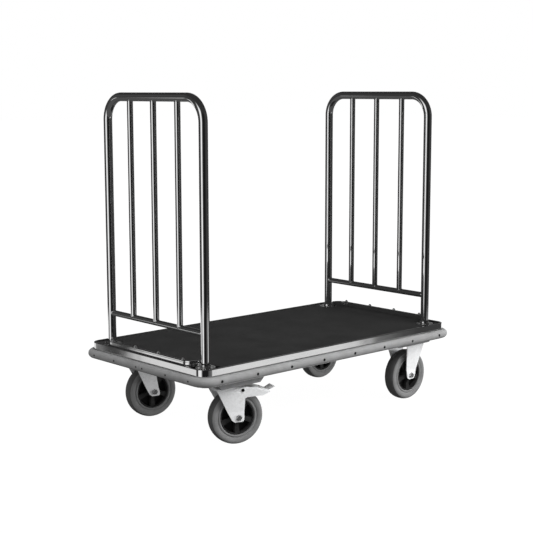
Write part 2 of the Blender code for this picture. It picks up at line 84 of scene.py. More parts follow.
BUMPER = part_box("bumper_strip")
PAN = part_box("deck_pan")
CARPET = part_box("deck_carpet")
HOOP_X = middle("bar_front_2").x
POST_RADIUS = (high("hoop_front").x - low("hoop_front").x) / 2
POST_Y = high("hoop_front").y - POST_RADIUS
HOOP_TOP = high("hoop_front").z - POST_RADIUS
RAIL_Z = middle("cross_rail_front").z
BAR_RADIUS = (high("bar_front_2").x - low("bar_front_2").x) / 2
BAR_PITCH = middle("bar_front_3").y
BUMPER_DEPTH = PAN[0].x - BUMPER[0].x
WHEEL_RADIUS = (high("tyre_front_left").z - low("tyre_front_left").z) / 2
JOINTS = {joint["name"]: joint for joint in frame["joints"]}

# Measures that a box doesn't show
HOOP_BEND = 0.085
HOOP_WALL = 0.002
BAR_WALL = 0.0015
PAN_CORNER = 0.040
PAN_LIP = 0.007
STOP_SHEET = 0.008
STOP_BEND = 0.040
FORK_SHEET = 0.0035
LEG_AT_AXLE = 0.034
LEG_KNEE = 0.125
LEG_TOP = {"rear": 0.207, "front": 0.228}
LEG_SPREAD = {"rear": 0.048, "front": 0.055}
AXLE_RADIUS = 0.006
HEX_RADIUS = 0.0105
TREAD_EDGE = 0.0955
PLATE_BOLT = (0.0465, 0.039)
FLANGE_SCREW = 0.0275


# Materials


class Shader:
    """A Principled material with its texture coordinates in metres, and short ways to add detail."""

    def __init__(self, name, colour, roughness, metallic=0.0, **extra):
        self.material = bpy.data.materials.new(name)
        self.material.use_nodes = True
        self.tree = self.material.node_tree
        self.shader = self.tree.nodes["Principled BSDF"]
        self.coords = self.add("ShaderNodeTexCoord").outputs["Object"]
        self.set("Base Color", (*colour, 1.0))
        self.set("Roughness", roughness)
        self.set("Metallic", metallic)
        for socket, value in extra.items():
            self.set(socket.replace("_", " "), value)

    def add(self, kind, **settings):
        node = self.tree.nodes.new(kind)
        for name, value in settings.items():
            setattr(node, name, value)
        return node

    def link(self, output, target):
        self.tree.links.new(output, target)

    def set(self, socket, value):
        target = self.shader.inputs[socket]
        if isinstance(value, bpy.types.NodeSocket):
            self.link(value, target)
        else:
            target.default_value = value

    def stretched(self, scale):
        node = self.add("ShaderNodeMapping")
        node.inputs["Scale"].default_value = scale
        self.link(self.coords, node.inputs["Vector"])
        return node.outputs["Vector"]

    def noise(self, scale, detail=3.0, roughness=0.55, stretch=None):
        node = self.add("ShaderNodeTexNoise")
        node.inputs["Scale"].default_value = scale
        node.inputs["Detail"].default_value = detail
        node.inputs["Roughness"].default_value = roughness
        self.link(self.stretched(stretch) if stretch else self.coords, node.inputs["Vector"])
        return node.outputs["Fac"]

    def cells(self, scale):
        node = self.add("ShaderNodeTexVoronoi")
        node.inputs["Scale"].default_value = scale
        self.link(self.coords, node.inputs["Vector"])
        return node.outputs["Color"]

    def spread(self, value, start, finish, low_in=0.3, high_in=0.7):
        node = self.add("ShaderNodeMapRange")
        numbers = {"From Min": low_in, "From Max": high_in, "To Min": start, "To Max": finish}
        for socket, number in numbers.items():
            node.inputs[socket].default_value = number
        self.link(value, node.inputs["Value"])
        return node.outputs["Result"]

    def blend(self, value, first, second, low_in=0.3, high_in=0.7):
        node = self.add("ShaderNodeMix", data_type="RGBA")
        self.link(self.spread(value, 0.0, 1.0, low_in, high_in), node.inputs[0])
        for socket, colour in ((MIX_FIRST, first), (MIX_SECOND, second)):
            if isinstance(colour, bpy.types.NodeSocket):
                self.link(colour, node.inputs[socket])
            else:
                node.inputs[socket].default_value = (*colour, 1.0)
        return node.outputs[MIX_RESULT]

    def bump(self, height, distance, strength=1.0):
        node = self.add("ShaderNodeBump")
        node.inputs["Strength"].default_value = strength
        node.inputs["Distance"].default_value = distance
        self.link(height, node.inputs["Height"])
        if self.shader.inputs["Normal"].is_linked:
            self.link(self.shader.inputs["Normal"].links[0].from_socket, node.inputs["Normal"])
        self.set("Normal", node.outputs["Normal"])


def grey(value, tint=0.0):
    return (value, value * (1 + tint / 2), value * (1 + tint))


def chrome():
    """Polished tube: nearly a mirror, with faint smears and hairline marks."""
    made = Shader("chrome_tube", grey(0.86, 0.01), 0.04, 1.0)
    made.set("Roughness", made.spread(made.noise(9.0, 4.0), 0.025, 0.055))
    made.set("Base Color", made.blend(made.noise(30.0, 3.0), grey(0.82), grey(0.90, 0.01)))
    made.bump(made.noise(60.0, 3.0, stretch=(2.0, 2.0, 0.3)), 0.0001, 0.03)
    return made.material


def polished():
    """Polished sheet with the fine lines of its grain along the edge, and a slight waviness."""
    made = Shader("polished_sheet", grey(0.84), 0.07, 1.0)
    grain = made.noise(1400.0, 3.0, 0.7, stretch=(0.02, 0.02, 1.0))
    made.set("Roughness", made.spread(made.noise(14.0, 4.0), 0.03, 0.09))
    made.set("Base Color", made.blend(grain, grey(0.78), grey(0.90)))
    made.bump(grain, 0.0001, 0.12)
    made.bump(made.noise(7.0, 1.5), 0.0022, 0.30)
    return made.material


def zinc():
    """Bright zinc: a pale coat with faint crystal patches and dull spots."""
    value = 0.93
    made = Shader("zinc_plate", grey(value), 0.36, 0.08)
    patches = made.cells(190.0)
    tone = made.blend(patches, grey(value * 0.93, 0.02), grey(value * 1.04, 0.015), 0.0, 1.0)
    marks = made.blend(made.noise(70.0, 4.0, 0.6), grey(value * 0.90), tone, 0.28, 0.50)
    made.set("Base Color", marks)
    made.set("Roughness", made.spread(made.noise(45.0, 5.0), 0.26, 0.46))
    made.bump(made.noise(500.0, 3.0), 0.0002, 0.20)
    made.bump(made.noise(24.0, 2.0), 0.0010, 0.08)
    return made.material


def steel(name, value, roughness):
    """Turned or ground steel, for bolts, pins and bearings."""
    made = Shader(name, grey(value, 0.01), roughness, 0.9)
    made.set("Base Color", made.blend(made.noise(260.0, 4.0), grey(value * 0.75), grey(value * 1.05, 0.01)))
    made.set("Roughness", made.spread(made.noise(120.0, 4.0), roughness * 0.7, roughness * 1.4))
    made.bump(made.noise(900.0, 2.0), 0.0001, 0.3)
    return made.material


def rubber(name, value, grain, roughness=0.62):
    """Moulded rubber or vinyl: fine pitted skin, a soft cloudy tone and light scuffs."""
    made = Shader(name, grey(value), roughness, Specular_IOR_Level=0.35)
    cloudy = made.blend(made.noise(22.0, 5.0, 0.6), grey(value * 0.88), grey(value * 1.10, 0.01))
    scuffs = made.blend(made.noise(95.0, 7.0, 0.75), cloudy, grey(min(value * 1.35, 0.9)), 0.60, 0.72)
    made.set("Base Color", scuffs)
    made.set("Roughness", made.spread(made.noise(60.0, 4.0), roughness - 0.08, roughness + 0.12))
    made.bump(made.noise(grain, 3.0, 0.6), 0.0003, 0.35)
    made.bump(made.noise(40.0, 2.0), 0.0006, 0.15)
    return made.material


def rim_plastic(name, dark, dusty):
    """Black moulded rim: satin, with a thin coat of dust in patches."""
    made = Shader(name, grey(dark), 0.42, Specular_IOR_Level=0.4)
    made.set("Base Color", made.blend(made.noise(70.0, 6.0, 0.7), grey(dark), grey(dusty), 0.35, 0.75))
    made.set("Roughness", made.spread(made.noise(150.0, 4.0), 0.32, 0.55))
    made.bump(made.noise(1100.0, 2.0), 0.0002, 0.25)
    return made.material


def felt():
    """Needled carpet: short tangled fibres, loose tufts and a tone that drifts over the deck."""
    made = Shader("carpet_felt", grey(0.014), 0.95, Specular_IOR_Level=0.08, Sheen_Weight=0.06)
    made.set("Sheen Roughness", 0.6)
    made.set("Sheen Tint", (0.4, 0.4, 0.4, 1.0))
    fibres = made.noise(900.0, 6.0, 0.8)
    drift = made.noise(7.0, 4.0, 0.6)
    base = made.blend(drift, grey(0.013), grey(0.021), 0.35, 0.65)
    made.set("Base Color", made.blend(fibres, grey(0.006), base, 0.30, 0.60))
    made.bump(fibres, 0.0010, 0.8)
    made.bump(made.noise(160.0, 5.0, 0.7), 0.0015, 0.5)
    return made.material


def ply():
    """Plywood underside: pale face veneer with long grain and darker latewood lines."""
    made = Shader("plywood_face", (0.30, 0.27, 0.24), 0.7)
    grain = made.noise(60.0, 6.0, 0.65, stretch=(0.06, 1.0, 1.0))
    lines = made.noise(420.0, 3.0, 0.6, stretch=(0.015, 1.0, 1.0))
    broad = made.blend(grain, (0.24, 0.21, 0.18), (0.36, 0.33, 0.29), 0.35, 0.65)
    made.set("Base Color", made.blend(lines, (0.17, 0.15, 0.13), broad, 0.33, 0.45))
    made.bump(lines, 0.0003, 0.4)
    return made.material


def painted():
    """Satin grey paint over rolled steel, with orange peel and rubbed patches."""
    value = 0.22
    made = Shader("channel_paint", grey(value, 0.02), 0.42, 0.1, Specular_IOR_Level=0.5)
    rubbed = made.noise(34.0, 7.0, 0.75)
    made.set("Base Color", made.blend(rubbed, grey(value * 0.86, 0.02), grey(value * 1.10, 0.01), 0.35, 0.70))
    made.set("Roughness", made.spread(made.noise(26.0, 4.0), 0.34, 0.52))
    made.bump(made.noise(420.0, 2.0), 0.0003, 0.25)
    return made.material


# One material for each slot of the record, then those that a few pieces have instead
MATERIALS = {
    "tube_chrome": chrome(),
    "polished_steel": polished(),
    "zinc_plate": zinc(),
    "bearing_steel": steel("bearing_steel", 0.55, 0.30),
    "bumper_grey": rubber("bumper_vinyl", 0.255, 1500.0),
    "tyre_grey": rubber("tyre_rubber", 0.20, 1100.0, 0.70),
    "rim_black": rim_plastic("rim_black", 0.016, 0.040),
    "carpet_charcoal": felt(),
    "plywood": ply(),
    "channel_grey": painted(),
}
# A darker copy of the rim plastic for the web between the spokes: painted shade in the pockets.
RIM_PAINTED_SHADE = rim_plastic("rim_pockets_painted_shade", 0.002, 0.008)
# Darker rubber for the tread: painted shade for the tread, which faces away from the lights and sits under
# the deck.
TREAD_PAINTED_SHADE = rubber("tyre_tread_painted_shade", 0.085, 900.0, 0.75)
SCREW_BLACK = steel("screw_black", 0.03, 0.40)
BOLT_STEEL = steel("bolt_zinc", 0.62, 0.28)


# Mesh tools


def mesh_from_loops(name, loops, closed=False):
    """A mesh through equal loops of points: capped at both ends, or closed from the last to the first."""
    work = bmesh.new()
    rings = [[work.verts.new(point) for point in loop] for loop in loops]
    pairs = list(zip(rings, rings[1:]))
    if closed:
        pairs.append((rings[-1], rings[0]))
    else:
        work.faces.new(rings[0])
        work.faces.new(rings[-1])
    count = len(rings[0])
    for ring, after in pairs:
        for i in range(count):
            j = (i + 1) % count
            work.faces.new((ring[i], ring[j], after[j], after[i]))
    bmesh.ops.recalc_face_normals(work, faces=work.faces)
    mesh = bpy.data.meshes.new(name)
    work.to_mesh(mesh)
    work.free()
    return mesh


def merged(name, meshes):
    """One mesh from several, which stay separate shells in it."""
    work = bmesh.new()
    for mesh in meshes:
        work.from_mesh(mesh)
        bpy.data.meshes.remove(mesh)
    made = bpy.data.meshes.new(name)
    work.to_mesh(made)
    work.free()
    return made


def moved(mesh, matrix):
    """The mesh itself, moved, and turned right side out if the matrix mirrors it."""
    mesh.transform(matrix)
    if matrix.determinant() < 0:
        mesh.flip_normals()
    return mesh


def circle(radius, height, sides):
    step = math.tau / sides
    return [(radius * math.cos(i * step), radius * math.sin(i * step), height) for i in range(sides)]


def turned(name, profile, sides=48, closed=False):
    """A turned shape about Z from (radius, height) points."""
    return mesh_from_loops(name, [circle(radius, height, sides) for radius, height in profile], closed)


def arc(centre, radius, start, finish, steps):
    """Points of an arc in degrees, in a plane, both ends included."""
    points = []
    for step in range(steps + 1):
        angle = math.radians(start + (finish - start) * step / steps)
        points.append((centre[0] + radius * math.cos(angle), centre[1] + radius * math.sin(angle)))
    return points


def piece(name, mesh, slot, body, replaces=(), material=None, bevel=0.0, segments=2, smooth=35):
    """An object from a mesh in world metres, painted, and riding on a body."""
    made = bpy.data.objects.new(name, mesh)
    bpy.context.scene.collection.objects.link(made)
    mesh.materials.clear()
    mesh.materials.append(material or MATERIALS[slot])
    mesh.shade_smooth()
    mesh.set_sharp_from_angle(angle=math.radians(smooth))
    if bevel:
        step = made.modifiers.new("edge", "BEVEL")
        step.width = bevel
        step.segments = segments
        step.limit_method = "ANGLE"
        step.angle_limit = BEVEL_ANGLE
        step.harden_normals = True
    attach(made, body)
    if replaces:
        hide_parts(*replaces)
    return made


def cut(target, tool_mesh):
    """Cuts a tool mesh out of a piece for good."""
    tool = bpy.data.objects.new("cutter", tool_mesh)
    bpy.context.scene.collection.objects.link(tool)
    step = target.modifiers.new("cut", "BOOLEAN")
    step.operation = "DIFFERENCE"
    step.solver = "EXACT"
    step.object = tool
    bpy.context.view_layer.update()
    evaluated = target.evaluated_get(bpy.context.evaluated_depsgraph_get())
    made = bpy.data.meshes.new_from_object(evaluated)
    target.modifiers.clear()
    target.data = made
    bpy.data.objects.remove(tool)


# Deck


def deck_path(offset):
    """The pan's outer line moved outwards by offset, from the middle of the rear end round and back."""
    steps, joint = 14, 0.0006
    half_x, half_y = PAN[1].x, PAN[1].y
    points = [(-half_x - offset, -joint)]
    for start, (sx, sy) in zip((180, 270, 360, 450), ((-1, -1), (1, -1), (1, 1), (-1, 1))):
        centre = (sx * (half_x - PAN_CORNER), sy * (half_y - PAN_CORNER))
        points += arc(centre, PAN_CORNER + offset, start, start + 90, steps)
    points.append((-half_x - offset, joint))
    return points


def deck_loop(offset, height):
    return [(x, y, height) for x, y in deck_path(offset)]


def deck_pan():
    """Pressed pan with a rolled lip all round."""
    top, bottom = PAN[1].z, PAN[0].z
    floor = CARPET[0].z - 0.0003
    roll, sheet, flat_below_roll = 0.0022, 0.002, 0.0004
    loops = [deck_loop(-sheet, floor - 0.0015), deck_loop(-sheet, bottom), deck_loop(0.0, bottom)]
    loops.append(deck_loop(0.0, top - roll - flat_below_roll))
    for x, z in arc((-roll, top - roll), roll, 0, 90, 5):
        loops.append(deck_loop(x, z))
    for x, z in arc((-PAN_LIP + roll, top - roll), roll, 90, 180, 5):
        loops.append(deck_loop(x, z))
    loops.append(deck_loop(-PAN_LIP, floor))
    name = "deck_pan_shell"
    piece(name, mesh_from_loops(name, loops), "polished_steel", "cart", ["deck_pan"])


def bumper_section():
    """The strip's section as (offset, height) points: a soft D with a shallow groove above and below."""
    low_z, high_z = BUMPER[0].z, BUMPER[1].z
    half = (high_z - low_z) / 2
    centre = (BUMPER_DEPTH - half, (low_z + high_z) / 2)
    points = [(0.0003, low_z + 0.0012), (0.0014, low_z)]
    for degrees in range(-86, 87, 8):
        radius = half - (0.0005 if abs(degrees) in (46, 42) else 0.0)
        angle = math.radians(degrees)
        points.append((centre[0] + radius * math.cos(angle), centre[1] + radius * math.sin(angle)))
    points += [(0.0034, high_z), (0.0020, high_z - 0.0007)]
    points += [(0.0006, high_z - 0.0042), (0.0003, high_z - 0.0046)]
    return points


def screw_places():
    """Where the bumper is screwed: (point on its crest, outward direction)."""
    first, pitch = -0.5775, 0.165
    places = []
    for sign in (-1, 1):
        for number in range(8):
            places.append(((first + number * pitch, sign * BUMPER[1].y), (0, sign)))
        for y in (-0.2825, -0.155, -0.018, 0.018, 0.155, 0.2825):
            places.append(((sign * BUMPER[1].x, y), (sign, 0)))
    return places


def facing(point, outward, height):
    """A matrix that takes Z to the outward direction at a point."""
    across = Vector((outward[0], outward[1], 0)).to_track_quat("Z", "Y").to_matrix().to_4x4()
    return Matrix.Translation((*point, height)) @ across


def bumper():
    """The strip all round the pan, with its sunk screws; their holes are smaller at the ends of the deck."""
    section = bumper_section()
    paths = [deck_path(offset) for offset, _ in section]
    loops = []
    for station in range(len(paths[0])):
        loops.append([(*path[station], height) for path, (_, height) in zip(paths, section)])
    name = "bumper_rail"
    made = piece(name, mesh_from_loops(name, loops), "bumper_grey", "cart", ["bumper_strip"])
    middle_z = (BUMPER[0].z + BUMPER[1].z) / 2
    sinks, heads = [], []
    for point, outward in screw_places():
        where = facing(point, outward, middle_z)
        wide = 0.0058 if outward[1] else 0.0042
        sinks.append(moved(turned("sink", [(wide * 0.85, -0.0050), (wide, 0.0), (wide, 0.002)], 20), where))
        head = [(0.0008, -0.0034), (0.0014, -0.0018), (wide * 0.93, -0.0018), (wide * 0.93, -0.0040)]
        heads.append(moved(turned("head", head, 20), where))
    cut(made, merged("sinks", sinks))
    piece("bumper_screws", merged("bumper_screws", heads), "bearing_steel", "cart", material=SCREW_BLACK)


def carpet():
    """The felt: the CAD outline with a rounded edge and a gently uneven top."""
    bottom, top = CARPET[0].z, CARPET[1].z
    spacing, sag = 0.05, 0.0004
    work = bmesh.new()
    work.from_mesh(NODES["deck_carpet"].data)
    area = sum(face.calc_area() for face in work.faces if face.normal.z > 0.5)
    bmesh.ops.remove_doubles(work, verts=work.verts, dist=0.00001)
    for normal, count in ((Vector((1, 0, 0)), 12), (Vector((0, 1, 0)), 6)):
        for step in range(-count, count + 1):
            everything = work.verts[:] + work.edges[:] + work.faces[:]
            spot = normal * (step * spacing)
            bmesh.ops.bisect_plane(work, geom=everything, plane_co=spot, plane_no=normal)
    for vertex in work.verts:
        on_edge = any(abs(face.normal.z) < 0.5 for face in vertex.link_faces)
        if vertex.co.z > (bottom + top) / 2 and not on_edge:
            x, y = vertex.co.x, vertex.co.y
            vertex.co.z -= sag * (1 + math.sin(9.1 * x + 4.0 * y) * math.cos(13.7 * y - 3.1 * x))
    made = bpy.data.meshes.new("deck_carpet_felt")
    work.to_mesh(made)
    work.free()
    felt_piece = piece("deck_carpet_felt", made, "carpet_charcoal", "cart", ["deck_carpet"], bevel=0.0012)


def end_stop(end):
    """A polished upstand bent in to the posts, with a groove below its top edge and domed nuts on it."""
    lo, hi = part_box(f"end_stop_{end}")
    half, bend, roll = STOP_SHEET / 2, STOP_BEND, 0.0030
    outer_x = max(abs(lo.x), abs(hi.x)) - half
    straight = hi.y - bend - half
    section = [(-half, lo.z), (half, lo.z), (half, hi.z - 0.0078), (half - 0.0016, hi.z - 0.0068)]
    section += [(half - 0.0016, hi.z - 0.0056), (half, hi.z - 0.0046), (half, hi.z - roll - 0.0004)]
    section += arc((half - roll, hi.z - roll), roll, 0, 90, 4)
    section += arc((-half + roll, hi.z - roll), roll, 90, 180, 4)
    section.append((-half, hi.z - roll - 0.0004))
    angles = [90 - step * 7.5 for step in range(13)]
    stations = [(angle, 1) for angle in angles] + [(angle, -1) for angle in reversed(angles)]
    loops = []
    for degrees, side in stations:
        angle = math.radians(degrees)
        loop = []
        for reach, z in section:
            x = outer_x - bend + (bend + reach) * math.cos(angle)
            loop.append((ENDS[end] * x, side * (straight + (bend + reach) * math.sin(angle)), z))
        loops.append(loop)
    name = f"end_stop_{end}_band"
    piece(name, mesh_from_loops(name, loops), "polished_steel", "cart", [f"end_stop_{end}"])
    nuts = []
    for y in (-0.210, -0.069, 0.069, 0.210):
        dome = [(0.0040, -0.0005), (0.0066, -0.0005), (0.0066, 0.0016), (0.0060, 0.0022)]
        dome += arc((0.0, 0.0022), 0.0052, 0, 80, 5)
        where = Matrix.Translation((ENDS[end] * outer_x, y, hi.z))
        nuts.append(moved(turned("nut", dome, 20), where))
    piece(f"end_stop_{end}_studs", merged("studs", nuts), "bearing_steel", "cart", material=BOLT_STEEL)


def flange(end, side):
    """Foot plate and collar of a post, with a weld fillet and four domed screws."""
    node = f"post_flange_{end}_{side}"
    lo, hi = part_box(node)
    centre = (lo + hi) / 2
    radius = (hi.x - lo.x) / 2
    bore = POST_RADIUS + 0.0005
    plate_top = CARPET[1].z - 0.0005
    collar = 0.0185
    profile = [(bore, lo.z), (radius, lo.z), (radius, plate_top - 0.0008), (radius - 0.0008, plate_top)]
    profile += arc((collar + 0.003, plate_top + 0.003), 0.003, 270, 180, 4)
    profile += arc((collar - 0.0008, hi.z - 0.0008), 0.0008, 0, 90, 3) + [(bore, hi.z)]
    where = Matrix.Translation((centre.x, centre.y, 0))
    name = f"post_foot_{end}_{side}"
    mesh = moved(turned(name, profile, 48, closed=True), where)
    piece(name, mesh, "polished_steel", "cart", [node])
    heads = []
    for number in range(4):
        angle = math.radians(45 + 90 * number)
        out = Vector((math.cos(angle), math.sin(angle), 0)) * FLANGE_SCREW
        spot = Matrix.Translation((centre.x + out.x, centre.y + out.y, plate_top))
        dome = [(0.0042, -0.0004), (0.0044, 0.0003)] + arc((0.0, -0.0016), 0.0046, 28, 78, 4)
        heads.append(moved(turned("head", dome, 20), spot))
    piece(f"post_screws_{end}_{side}", merged("heads", heads), "bearing_steel", "cart", material=BOLT_STEEL)


# Hoops


def tube_along(name, path, radius, wall, sides=36):
    """A hollow tube in a plane of constant X along (y, z) points."""
    outer, inner = [], []
    for i, (y, z) in enumerate(path):
        before, after = path[max(i - 1, 0)], path[min(i + 1, len(path) - 1)]
        along = Vector((after[0] - before[0], after[1] - before[1])).normalized()
        for ring, reach in ((outer, radius), (inner, radius - wall)):
            loop = []
            for side in range(sides):
                angle = side * math.tau / sides
                across = reach * math.sin(angle)
                loop.append((reach * math.cos(angle), y - across * along[1], z + across * along[0]))
            ring.append(loop)
    return mesh_from_loops(name, outer + inner[::-1], closed=True)


def hoop(end):
    foot = low(f"hoop_{end}").z
    bend_z = HOOP_TOP - HOOP_BEND
    half = [(-POST_Y, foot), (-POST_Y, bend_z - 0.004)]
    half += arc((-POST_Y + HOOP_BEND, bend_z), HOOP_BEND, 180, 90, 20)
    half.append((-POST_Y + HOOP_BEND + 0.004, HOOP_TOP))
    path = half + [(-y, z) for y, z in reversed(half)]
    name = f"hoop_{end}_tube"
    mesh = tube_along(name, path, POST_RADIUS, HOOP_WALL)
    moved(mesh, Matrix.Translation((ENDS[end] * HOOP_X, 0, 0)))
    piece(name, mesh, "tube_chrome", "cart", [f"hoop_{end}"], smooth=40)


def saddle(radius, cope, angle):
    """How far a tube of one radius stands off the axis of the round tube that it meets."""
    return math.sqrt(max(cope * cope - (radius * math.cos(angle)) ** 2, 0.0))


def coped(name, start, finish, start_cope, finish_cope, sides=32):
    """A straight tube along Z whose ends are cut to the tubes that they meet, with small weld beads."""
    gap, bead = 0.0004, 0.0013
    meets = ((start, start_cope, 1), (finish, finish_cope, -1))
    loops = []
    for radius, order in ((BAR_RADIUS, (0, 1)), (BAR_RADIUS - BAR_WALL, (1, 0))):
        for which in order:
            level, cope, way = meets[which]
            ring = []
            for i in range(sides):
                angle = i * math.tau / sides
                height = level + way * saddle(radius, cope + gap, angle)
                ring.append((radius * math.cos(angle), radius * math.sin(angle), height))
            loops.append(ring)
    meshes = [mesh_from_loops(name, loops, closed=True)]
    for level, cope, way in meets:
        rings = []
        for i in range(sides):
            angle = i * math.tau / sides
            reach = BAR_RADIUS + bead * 0.35
            height = level + way * (saddle(reach, cope, angle) + bead * 0.55)
            ring = []
            for side in range(8):
                turn = side * math.tau / 8
                out = reach + bead * math.cos(turn)
                up = height + way * bead * math.sin(turn)
                ring.append((out * math.cos(angle), out * math.sin(angle), up))
            rings.append(ring)
        meshes.append(mesh_from_loops("bead", rings, closed=True))
    return merged(name, meshes)


def rails_and_bars(end):
    x = ENDS[end] * HOOP_X
    name = f"cross_rail_{end}_tube"
    across = Matrix.Translation((x, 0, RAIL_Z)) @ Z_TO_Y
    mesh = moved(coped(name, -POST_Y, POST_Y, POST_RADIUS, POST_RADIUS), across)
    piece(name, mesh, "tube_chrome", "cart", [f"cross_rail_{end}"], smooth=40)
    for number in range(3):
        name = f"bar_{end}_{number + 1}_tube"
        mesh = coped(name, RAIL_Z, HOOP_TOP, BAR_RADIUS, POST_RADIUS)
        moved(mesh, Matrix.Translation((x, (number - 1) * BAR_PITCH, 0)))
        piece(name, mesh, "tube_chrome", "cart", [f"bar_{end}_{number + 1}"], smooth=40)


# Casters, in each wheel's own frame: X back from the axle, Y along it, Z up from the floor


def wheel_frame(corner):
    joint = JOINTS[f"wheel_{corner}"]
    axis = Vector(joint["axis"]).normalized()
    back = axis.cross(Vector((0, 0, 1)))
    spot = Vector(joint["pos_m"])
    turn = Matrix((back, axis, Vector((0, 0, 1)))).transposed().to_4x4()
    return Matrix.Translation((spot.x, spot.y, 0)) @ turn


def on_axle(mesh):
    """A shape made along Z, laid along the axle."""
    return moved(mesh, Matrix.Translation((0, 0, WHEEL_RADIUS)) @ Z_TO_Y)


def mirrored(half):
    """A profile from its upper half."""
    return half + [(radius, -height) for radius, height in reversed(half)]


def tyre(corner, frame_of):
    """Rounded tread, flat sidewalls with a groove, and a raised bead by the rim; the tread's darker rubber is
    painted shade.
    """
    half = [(0.0656, 0.0215), (0.0668, 0.0236), (0.0700, 0.0244), (0.0722, 0.0236), (0.0736, 0.0218)]
    half += [(0.0752, 0.0214), (0.0768, 0.0224), (0.0790, 0.0244), (0.0885, 0.0250), (0.0925, 0.0242)]
    half += [(0.0962, 0.0218), (0.0987, 0.0182), (0.1003, 0.0135), (0.1011, 0.0085)]
    half.append((WHEEL_RADIUS, 0.0030))
    name = f"tyre_{corner}_tread"
    mesh = moved(on_axle(turned(name, mirrored(half), 96, closed=True)), frame_of)
    made = piece(name, mesh, "tyre_grey", f"wheel_{corner}", [f"tyre_{corner}"], smooth=50)
    # Faces out beyond the tread edge take the darker rubber as painted shade.
    made.data.materials.append(TREAD_PAINTED_SHADE)
    centre = middle(f"tyre_{corner}")
    axis = Vector(JOINTS[f"wheel_{corner}"]["axis"]).normalized()
    for face in made.data.polygons:
        out = face.center - centre
        if (out - axis * out.dot(axis)).length > TREAD_EDGE:
            face.material_index = 1


def rim(corner, frame_of):
    """Moulded rim: outer band, hub, a web set deep inside and five spokes raised from it on each side. The
    web is a darker plastic: painted shade in the pockets.
    """
    half = [(0.0588, 0.0040), (0.0598, 0.0205), (0.0605, 0.0220), (0.0640, 0.0220), (0.0650, 0.0210)]
    band = mirrored(half)
    hub = mirrored([(0.0136, 0.0285), (0.0205, 0.0285), (0.0215, 0.0275), (0.0240, 0.0040)])
    meshes = [turned("part", profile, 64, closed=True) for profile in (band, hub)]
    stations = ((0.0205, 0.0078, 0.0205), (0.036, 0.0095, 0.0165), (0.0595, 0.0125, 0.0185))
    for side in (1, -1):
        for number in range(5):
            loops = []
            for reach, foot, height in stations:
                crest = foot * 0.8
                corners = ((-foot, 0), (foot, 0), (crest, height), (-crest, height))
                loops.append([(reach, y, z * side) for y, z in corners])
            spoke = mesh_from_loops("spoke", loops)
            turn = Matrix.Rotation(math.radians(18 + 72 * number), 4, "Z")
            meshes.append(moved(spoke, turn))
    name = f"wheel_rim_{corner}_spoked"
    mesh = moved(on_axle(merged(name, meshes)), frame_of)
    piece(name, mesh, "rim_black", f"wheel_{corner}", [f"wheel_rim_{corner}"], bevel=0.0009)
    # The web takes the darker plastic as painted shade deep between the spokes.
    web = mirrored([(0.0225, 0.0035), (0.0580, 0.0035), (0.0600, 0.0060)])
    name = f"wheel_web_{corner}_disc"
    mesh = moved(on_axle(turned(name, web, 64, closed=True)), frame_of)
    piece(name, mesh, "rim_black", f"wheel_{corner}", material=RIM_PAINTED_SHADE)


def bearing(corner, frame_of):
    """The bearing's two faces: an inner and an outer ring, and the shield between them."""
    half = [(0.0066, 0.0285), (0.0072, 0.0290), (0.0084, 0.0290), (0.0090, 0.0280), (0.0112, 0.0280)]
    half += [(0.0116, 0.0287), (0.0126, 0.0287), (0.0130, 0.0283)]
    name = f"wheel_bearing_{corner}_ring"
    mesh = moved(on_axle(turned(name, mirrored(half), 40, closed=True)), frame_of)
    piece(name, mesh, "bearing_steel", f"wheel_{corner}", [f"wheel_bearing_{corner}"])


def hexagon(radius, height):
    """A hexagon's corners and the middles of its sides."""
    loop = []
    for i in range(12):
        reach = radius if i % 2 == 0 else radius * math.cos(math.pi / 6)
        loop.append((reach * math.cos(i * math.pi / 6), reach * math.sin(i * math.pi / 6), height))
    return loop


def hex_solid(name, radius, low_z, high_z, chamfer=0.0010):
    """A hexagon head with its outer corners chamfered."""
    loops = [hexagon(radius, low_z), hexagon(radius, high_z - chamfer), hexagon(radius * 0.90, high_z)]
    return mesh_from_loops(name, loops)


def axle(corner, frame_of, body):
    """Bolt with a washer and a shank that stands out of its nut."""
    face = LEG_AT_AXLE + FORK_SHEET / 2 + 0.0003
    radius = HEX_RADIUS
    head = moved(hex_solid("head", radius, 0, 0.007), Matrix.Translation((0, 0, face)))
    moved(head, UPSIDE_DOWN)
    dish = turned("dish", [(0.0030, -face - 0.0066), (0.0062, -face - 0.0070), (0.0058, -face - 0.0071)], 24)
    shank = [(AXLE_RADIUS, -face), (AXLE_RADIUS, face + 0.0092), (AXLE_RADIUS - 0.0008, face + 0.010)]
    shank = turned("shank", shank, 24)
    washer = [(0.0064, -face), (0.0104, -face), (0.0104, -face - 0.0006), (0.0064, -face - 0.0006)]
    washer = turned("washer", washer, 32, closed=True)
    name = f"axle_bolt_{corner}_hex"
    mesh = moved(on_axle(merged(name, [head, dish, shank, washer])), frame_of)
    piece(name, mesh, "bearing_steel", body, [f"axle_bolt_{corner}"], material=BOLT_STEEL, smooth=25)
    nut = [hexagon(radius, face), hexagon(radius, face + 0.0070), hexagon(radius * 0.90, face + 0.008)]
    nut += [circle(0.0066, face + 0.008, 12), circle(0.0066, face, 12)]
    name = f"axle_nut_{corner}_hex"
    mesh = moved(on_axle(mesh_from_loops(name, nut, closed=True)), frame_of)
    piece(name, mesh, "bearing_steel", body, [f"axle_nut_{corner}"], material=BOLT_STEEL, smooth=25)


